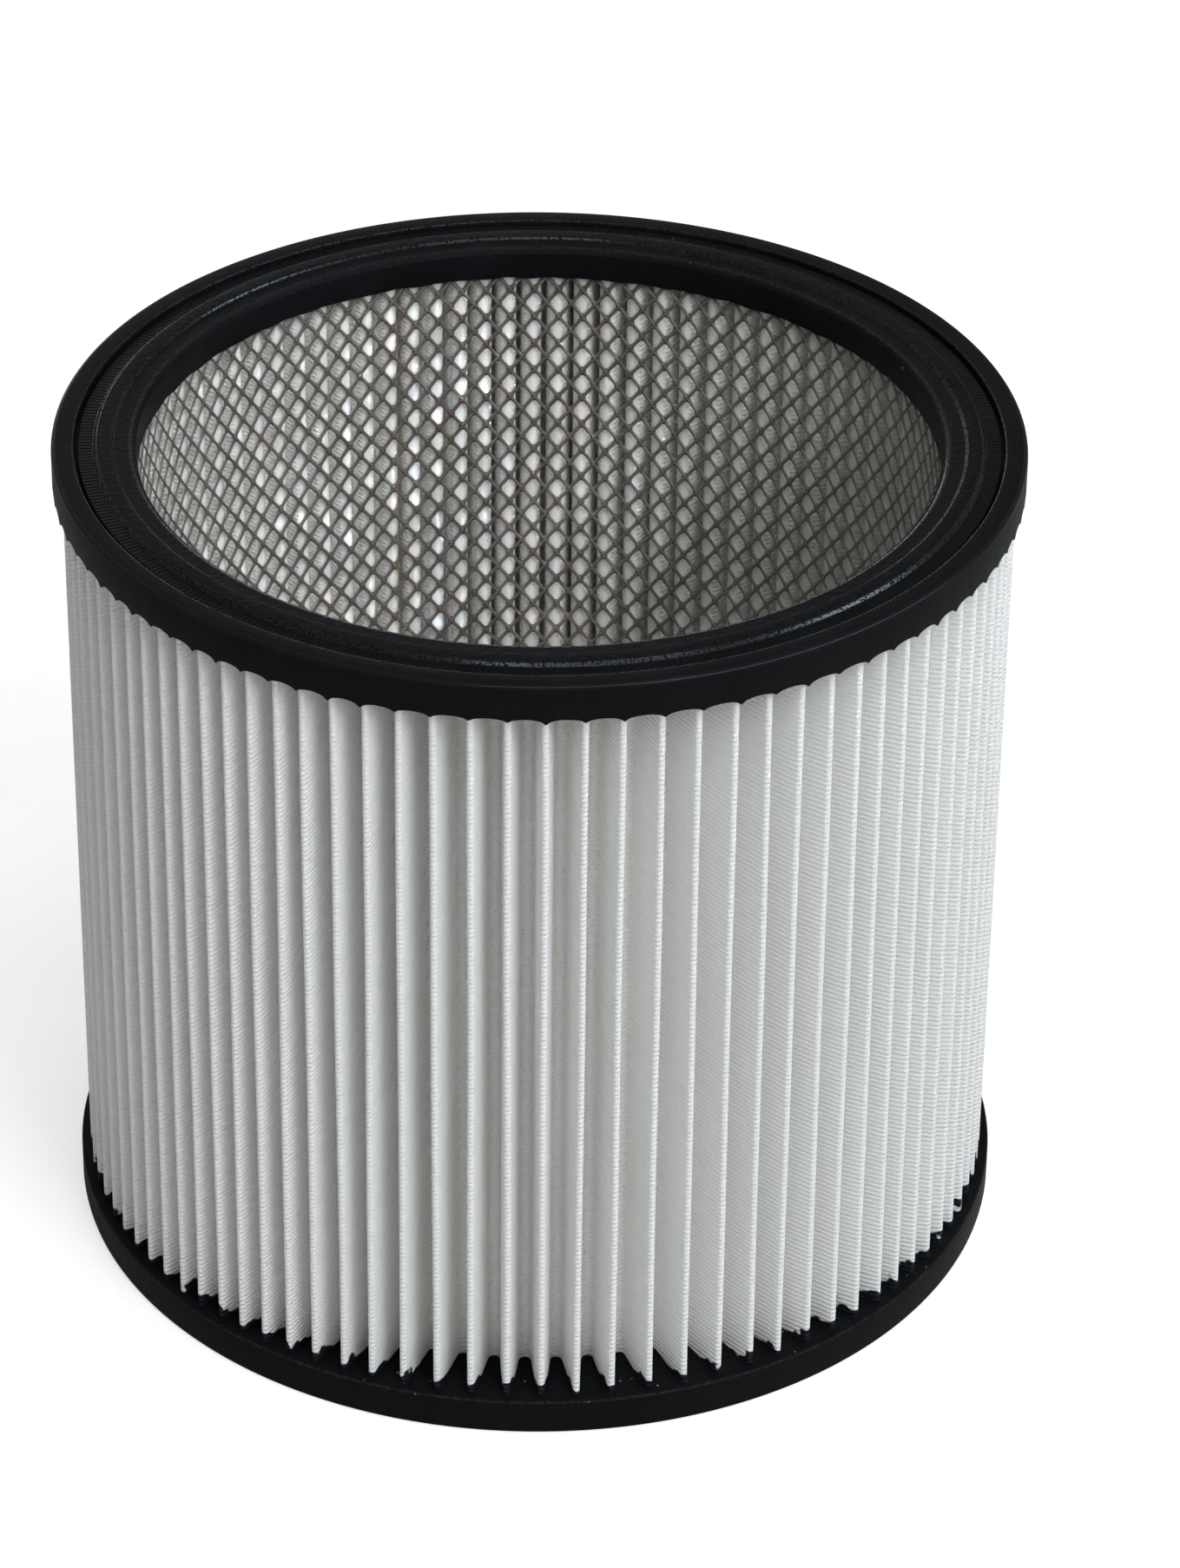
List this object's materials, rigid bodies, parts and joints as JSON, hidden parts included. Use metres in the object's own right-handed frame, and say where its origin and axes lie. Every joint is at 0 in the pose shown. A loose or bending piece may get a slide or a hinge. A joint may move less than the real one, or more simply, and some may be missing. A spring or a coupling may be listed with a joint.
{
  "type": "pleated filter cartridge",
  "caption": "Cylindrical pleated filter cartridge for a wet and dry vacuum cleaner, open through its middle, with black cast end rings and a diamond support mesh.",
  "frame": {"origin": "centre of the base, on the underside of the bottom end ring", "axes": "+Z along the cartridge's axis, towards the end with the sealing bead"},
  "size_m": [0.19, 0.19, 0.1724],
  "materials": {
    "cast_black": "satin",
    "fleece": "matte",
    "mesh_metal": "satin",
    "glue": "gloss"
  },
  "bodies": {
    "root": {"top_end_cap": "cast_black", "bottom_end_ring": "cast_black", "pleated_medium": "fleece", "support_mesh": "mesh_metal", "seam_glue": "glue"}
  },
  "joints": []
}
